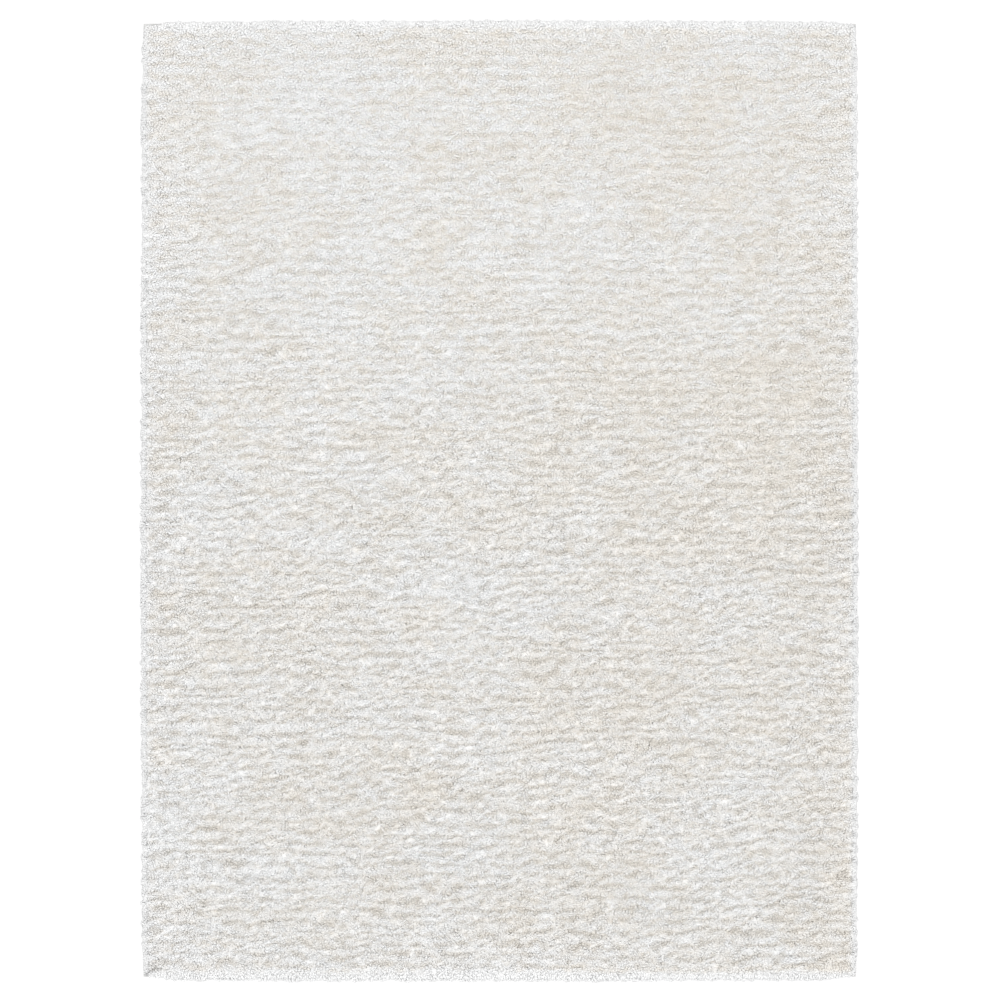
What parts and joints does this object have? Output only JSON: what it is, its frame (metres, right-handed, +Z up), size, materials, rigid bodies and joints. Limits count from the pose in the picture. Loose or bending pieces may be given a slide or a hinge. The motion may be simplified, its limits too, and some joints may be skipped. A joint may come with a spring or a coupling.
{
  "type": "shag rug",
  "caption": "Rectangular ivory shag rug lying flat: deep, soft, tufted yarn pile that bulges a little past a square-cut ground cloth.",
  "frame": {"origin": "under the middle of the rug, on the plane that it lies on", "axes": "+Z up out of the pile, +Y along the rug's length towards the picture's top edge, +X across its width towards the picture's right edge"},
  "size_m": [1.6132, 2.1531, 0.0314],
  "materials": {
    "ground_cloth": "matt plain-woven cotton, grey beige",
    "ivory_yarn": "matt, soft, brushed ivory yarn with a faint sheen, cut as long tufts"
  },
  "bodies": {
    "root": {"backing": "ground_cloth", "pile": "ivory_yarn"}
  },
  "joints": []
}
